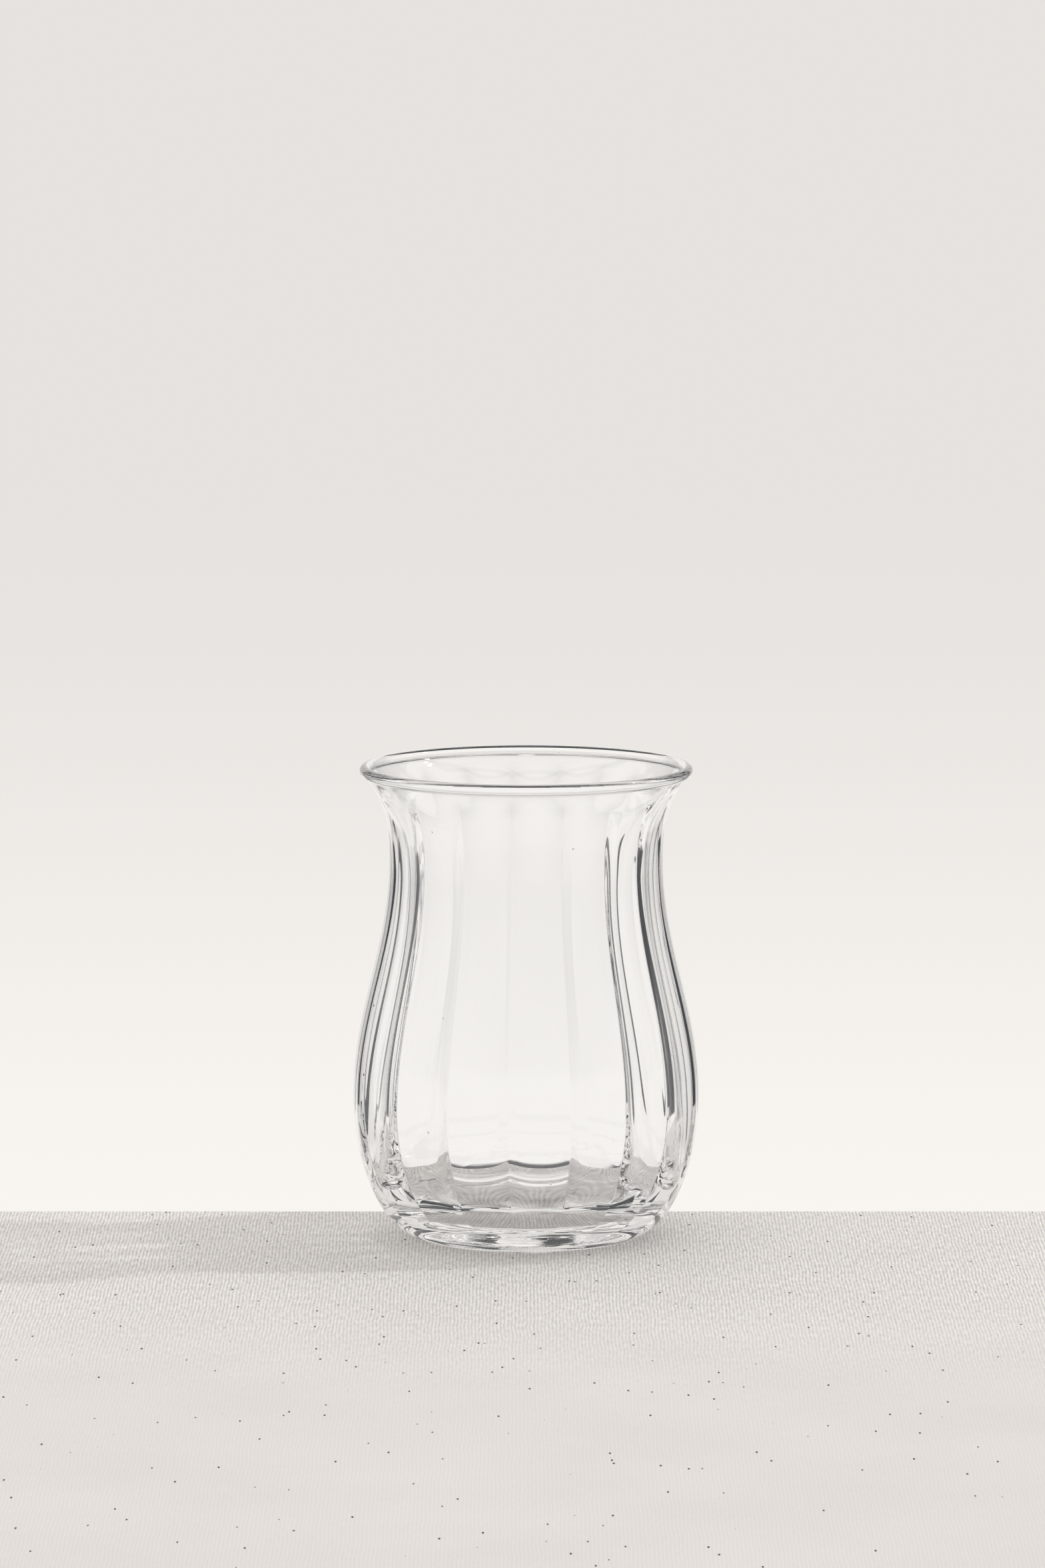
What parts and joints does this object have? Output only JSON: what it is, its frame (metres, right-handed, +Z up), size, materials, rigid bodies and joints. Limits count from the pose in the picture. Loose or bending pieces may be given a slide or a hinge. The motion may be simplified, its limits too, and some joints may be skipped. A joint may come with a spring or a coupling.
{
  "type": "tea glass",
  "caption": "Clear tea glass with a round belly, a drawn-in neck and a flared, beaded lip. Its outside is smooth, and upright panels line its inside over a thick base.",
  "frame": {"origin": "middle of the foot, on the plane that the glass stands on", "axes": "+Z up along the axis of the glass; -Y towards the picture's viewer, +X to the viewer's right"},
  "size_m": [0.0802, 0.0802, 0.11],
  "materials": {
    "glass": "clear, fire-polished, faintly blue-grey in its edges"
  },
  "bodies": {
    "root": {"glass": "glass"}
  },
  "joints": []
}
